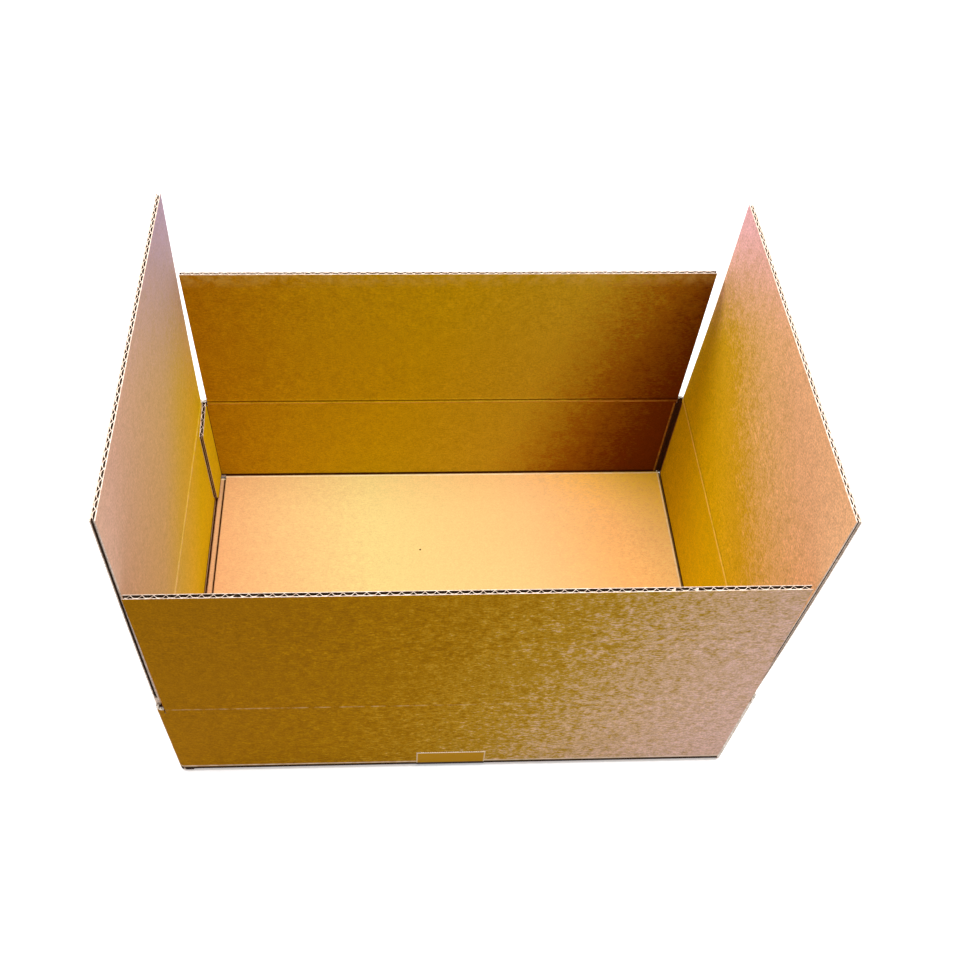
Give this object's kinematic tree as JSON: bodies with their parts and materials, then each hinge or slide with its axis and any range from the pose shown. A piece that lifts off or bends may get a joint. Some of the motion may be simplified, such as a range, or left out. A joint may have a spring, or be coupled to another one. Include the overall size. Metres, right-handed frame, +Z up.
{
  "type": "cardboard box",
  "caption": "Open corrugated shipping box with a taped bottom, a lapped glue tab and top flaps hinged at their creases.",
  "frame": {"origin": "middle of the base, on the surface that the box stands on", "axes": "+X along the box's length to the right, +Y from its front to its back, +Z up"},
  "size_m": [0.3903, 0.2652, 0.2992],
  "materials": {
    "kraft_board": "matte",
    "kraft_fluted": "matte",
    "tape": "satin"
  },
  "bodies": {
    "box": {"box_body": "kraft_board", "bottom_tape": "tape"},
    "front_flap": {"front_flap": "kraft_fluted"},
    "back_flap": {"back_flap": "kraft_fluted"},
    "left_flap": {"left_flap": "kraft_fluted"},
    "right_flap": {"right_flap": "kraft_fluted"}
  },
  "joints": [
    {"name": "front_flap_crease", "type": "hinge", "parent": "box", "child": "front_flap", "pos_m": [0, -0.1325, 0.099], "axis": [-1, 0, 0], "range_deg": [-138.7, 89.4]},
    {"name": "back_flap_crease", "type": "hinge", "parent": "box", "child": "back_flap", "pos_m": [0, 0.1325, 0.099], "axis": [1, 0, 0], "range_deg": [-138.7, 89.4]},
    {"name": "left_flap_crease", "type": "hinge", "parent": "box", "child": "left_flap", "pos_m": [-0.1935, 0, 0.1022], "axis": [0, 1, 0], "range_deg": [-122.1, 88.8]},
    {"name": "right_flap_crease", "type": "hinge", "parent": "box", "child": "right_flap", "pos_m": [0.1935, 0, 0.1022], "axis": [0, -1, 0], "range_deg": [-121.6, 91]}
  ]
}
